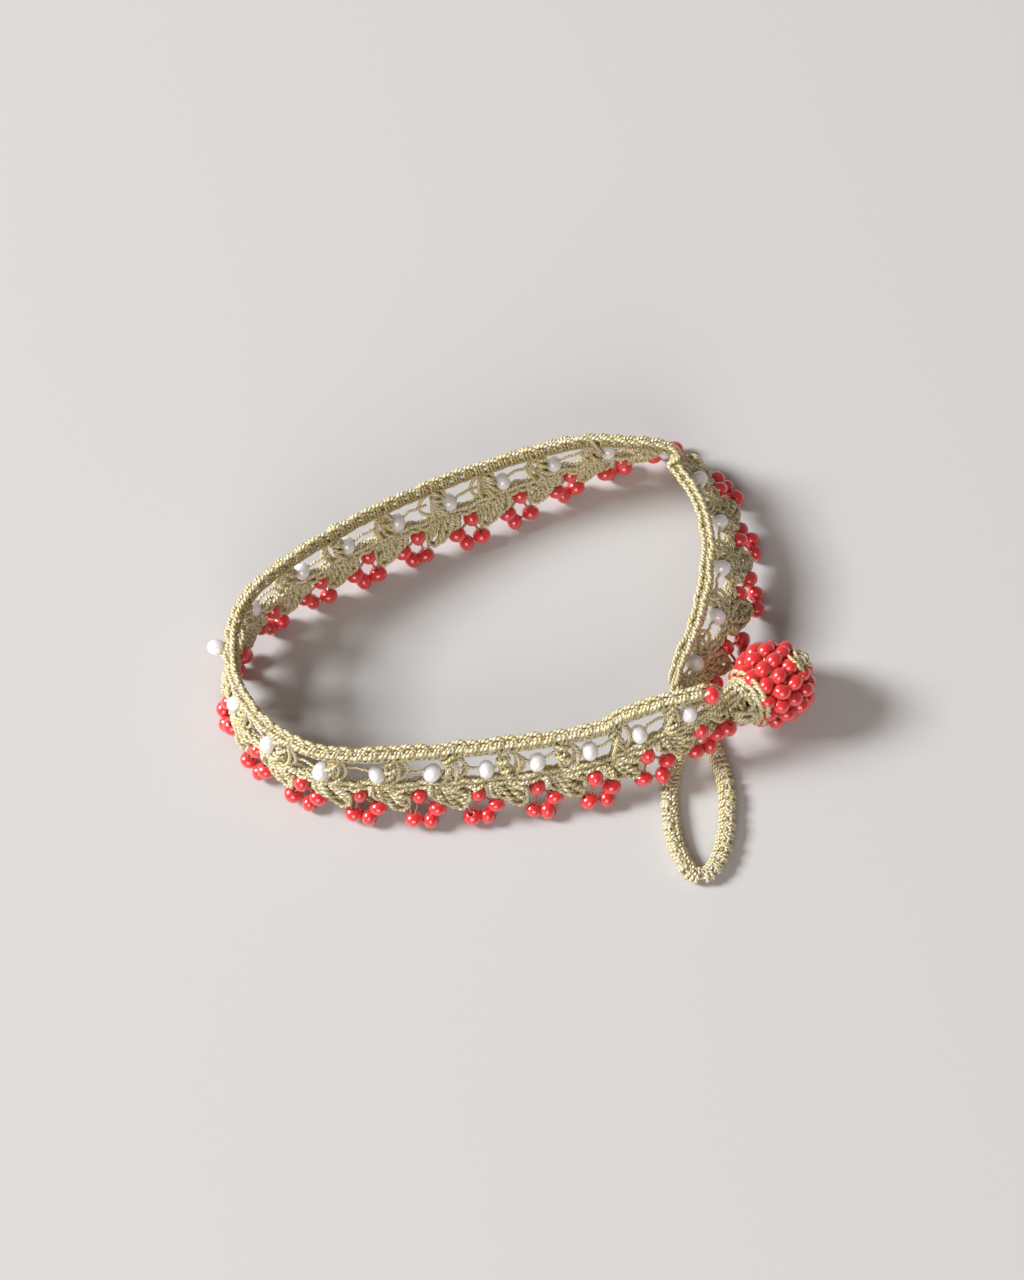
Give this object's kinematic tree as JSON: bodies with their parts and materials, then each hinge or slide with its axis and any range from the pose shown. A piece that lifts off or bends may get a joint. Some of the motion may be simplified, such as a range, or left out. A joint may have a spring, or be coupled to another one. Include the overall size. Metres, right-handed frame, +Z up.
{
  "type": "crocheted lace bracelet with seed beads",
  "caption": "Crocheted lace bracelet, unfastened and lying with crossed ends: a band with windows and bead rings along one edge, a beaded ball button and a button loop.",
  "frame": {"origin": "middle of the whole bracelet's box, on the surface that it lies on", "axes": "+X from the closed left bend towards the crossed ends and the ball button, +Y away from the button loop's far end, +Z up off the surface"},
  "size_m": [0.069, 0.0564, 0.0119],
  "materials": {
    "lace_thread": "glossy twisted crochet thread, pale green",
    "loop_thread": "glossy twisted crochet thread, pale green, closely wrapped",
    "red_bead": "opaque red glass with a pearly lustre",
    "pearl_bead": "opaque white glass with a pearly lustre"
  },
  "bodies": {
    "root": {"lace_band": "lace_thread", "button_loop": "loop_thread", "ball_button": "red_bead", "ball_stem": "lace_thread", "bead_ring_01": "red_bead", "bead_ring_02": "red_bead", "bead_ring_03": "red_bead", "bead_ring_04": "red_bead", "bead_ring_05": "red_bead", "bead_ring_06": "red_bead", "bead_ring_07": "red_bead", "bead_ring_08": "red_bead", "bead_ring_09": "red_bead", "bead_ring_10": "red_bead", "bead_ring_11": "red_bead", "bead_ring_12": "red_bead", "bead_ring_13": "red_bead", "bead_ring_14": "red_bead", "bead_ring_15": "red_bead", "bead_ring_16": "red_bead", "bead_ring_17": "red_bead", "bead_ring_18": "red_bead", "bead_ring_19": "red_bead", "bead_ring_20": "red_bead", "bead_ring_21": "red_bead", "bead_ring_22": "red_bead", "bead_ring_23": "red_bead", "bead_ring_24": "red_bead", "bead_ring_25": "red_bead"}
  },
  "joints": []
}
